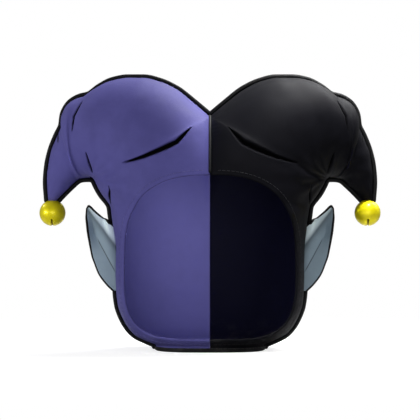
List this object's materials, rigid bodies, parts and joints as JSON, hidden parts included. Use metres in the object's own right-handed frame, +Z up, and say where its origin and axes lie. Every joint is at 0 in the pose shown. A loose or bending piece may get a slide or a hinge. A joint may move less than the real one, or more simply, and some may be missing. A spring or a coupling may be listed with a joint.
{
  "type": "jester hat",
  "caption": "Jester hood with drooping horns that end in jingle bells, a face opening, pointed cloth ears, black piped seams and a bound hem; open at the neck to take a head.",
  "frame": {"origin": "centre of the base: x = 0 is the centre seam and z = 0 the underside of the hem binding", "axes": "+Z up; the face opening looks along -Y; +X is the wearer's left, the black half"},
  "size_m": [0.3406, 0.196, 0.2754],
  "materials": {
    "felt_purple": "matte felt",
    "felt_black": "matte felt",
    "felt_grey_blue": "matte felt",
    "trim_black": "covered cord and folded tape",
    "bell_gold": "polished gold-coloured brass"
  },
  "bodies": {
    "root": {"hood_purple": "felt_purple", "hood_black": "felt_black", "horn_piping_right": "trim_black", "horn_piping_left": "trim_black", "side_piping_right": "trim_black", "side_piping_left": "trim_black", "seam_piping_centre": "trim_black", "hem_binding": "trim_black", "ear_right": "felt_grey_blue", "ear_left": "felt_grey_blue", "ear_piping_right": "trim_black", "ear_piping_left": "trim_black", "bell_right": "bell_gold", "bell_left": "bell_gold", "bell_pellet_right": "bell_gold", "bell_pellet_left": "bell_gold"}
  },
  "joints": []
}
